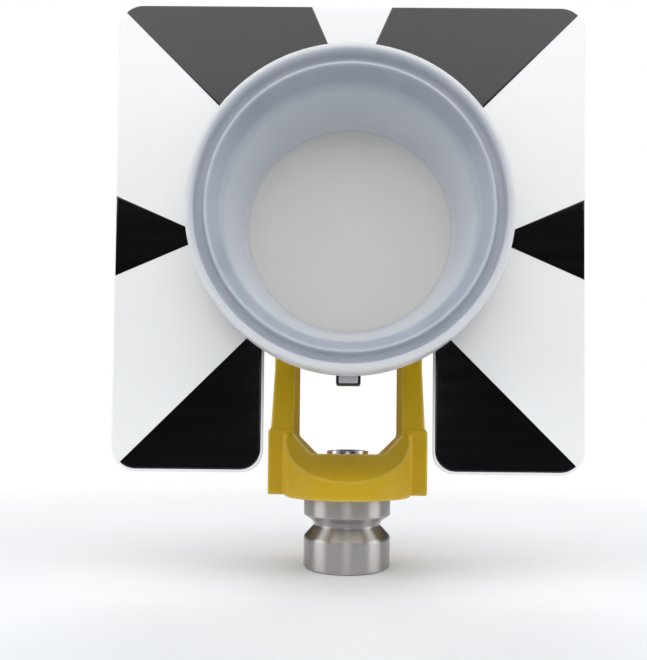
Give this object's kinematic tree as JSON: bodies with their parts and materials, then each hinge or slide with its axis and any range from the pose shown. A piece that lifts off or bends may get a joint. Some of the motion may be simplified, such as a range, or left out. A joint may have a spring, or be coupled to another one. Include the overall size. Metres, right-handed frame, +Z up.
{
  "type": "survey prism",
  "caption": "Tilting corner-cube survey prism in a cast yoke, with a square black and white sighting plate, a dust cap and a pole adapter.",
  "frame": {"origin": "centre of the adapter's bottom face, at the mouth of its pole thread", "axes": "+Z up along the pole axis, the prism looks along -Y, +X is the right side seen from the front"},
  "size_m": [0.15, 0.0769, 0.186],
  "materials": {
    "yoke_paint": "satin mustard-yellow powder coat on cast metal",
    "satin_aluminium": "turned, satin anodised",
    "bright_steel": "bright plated",
    "black_plastic": "moulded, fine matt grain",
    "optical_glass": "polished, silvered on the three rear faces",
    "rubber": "soft, matt",
    "grey_mark": "light-grey moulded inset",
    "plate_white": "glossy white sheet with printed black sighting fields",
    "cap_plastic": "translucent milky polyethylene",
    "nylon": "natural nylon",
    "brass": "turned brass",
    "knob_plastic": "moulded, fluted grip"
  },
  "bodies": {
    "yoke_base": {"yoke": "yoke_paint", "adapter": "satin_aluminium", "adapter_bolt": "bright_steel", "bolt_washer": "bright_steel", "anti_turn_pin": "bright_steel", "pivot_bush_left": "nylon", "pivot_bush_right": "nylon"},
    "prism_head": {"front_barrel": "black_plastic", "rear_housing": "black_plastic", "corner_cube": "optical_glass", "prism_pads": "rubber", "front_gasket": "rubber", "housing_gasket": "rubber", "housing_grub_screw": "bright_steel", "index_mark": "grey_mark", "target_plate": "plate_white", "plate_clamp_ring": "black_plastic", "plate_screws": "bright_steel", "pivot_insert_left": "brass", "pivot_insert_right": "brass", "tilt_washer_left": "nylon", "tilt_washer_right": "nylon"},
    "left_knob": {"tilt_knob_left": "knob_plastic", "knob_stud_left": "bright_steel", "knob_washer_left": "bright_steel"},
    "right_knob": {"tilt_knob_right": "knob_plastic", "knob_stud_right": "bright_steel", "knob_washer_right": "bright_steel"},
    "cap": {"dust_cap": "cap_plastic"}
  },
  "joints": [
    {"name": "tilt", "type": "hinge", "parent": "yoke_base", "child": "prism_head", "pos_m": [0, 0.01599, 0.1112], "axis": [-1, 0, 0], "range_deg": [-20, 90]},
    {"name": "left_knob_turn", "type": "hinge", "parent": "prism_head", "child": "left_knob", "pos_m": [-0.036, 0.01599, 0.1112], "axis": [-1, 0, 0], "range_deg": [0, 180]},
    {"name": "right_knob_turn", "type": "hinge", "parent": "prism_head", "child": "right_knob", "pos_m": [0.036, 0.01599, 0.1112], "axis": [1, 0, 0], "range_deg": [0, 180]},
    {"name": "cap_pull", "type": "slide", "parent": "prism_head", "child": "cap", "axis": [0, -1, 0], "range_m": [0, 0.06]}
  ]
}
